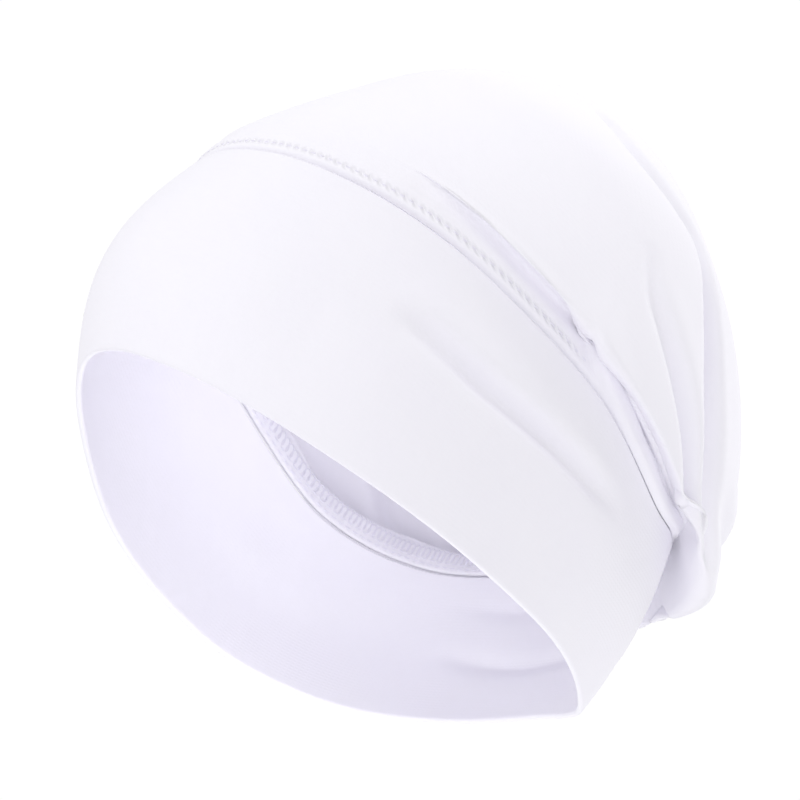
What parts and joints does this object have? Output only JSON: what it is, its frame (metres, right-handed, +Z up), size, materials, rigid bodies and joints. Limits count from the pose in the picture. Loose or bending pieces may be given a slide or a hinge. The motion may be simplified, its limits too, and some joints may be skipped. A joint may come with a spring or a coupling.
{
  "type": "sleep bonnet",
  "caption": "Slouchy jersey sleep bonnet: a wide double-layer band, folded at the rim, sewn to a gathered single-layer crown that hangs over the nape.",
  "frame": {"origin": "the point on the crown's inner face that rests on the top of the wearer's head, on the middle plane", "axes": "+Z up as worn on an upright head, -Y towards the forehead, +X towards the wearer's left side"},
  "size_m": [0.1664, 0.2185, 0.2049],
  "materials": {
    "band_jersey": "smooth white jersey, two layers, soft and matt with a faint lilac shade",
    "crown_jersey": "smooth white jersey, one layer, soft and matt",
    "overlocked_edge": "cut jersey edges bound with white overlock thread"
  },
  "bodies": {
    "root": {"band": "band_jersey", "crown": "crown_jersey", "seam_allowance": "overlocked_edge"}
  },
  "joints": []
}
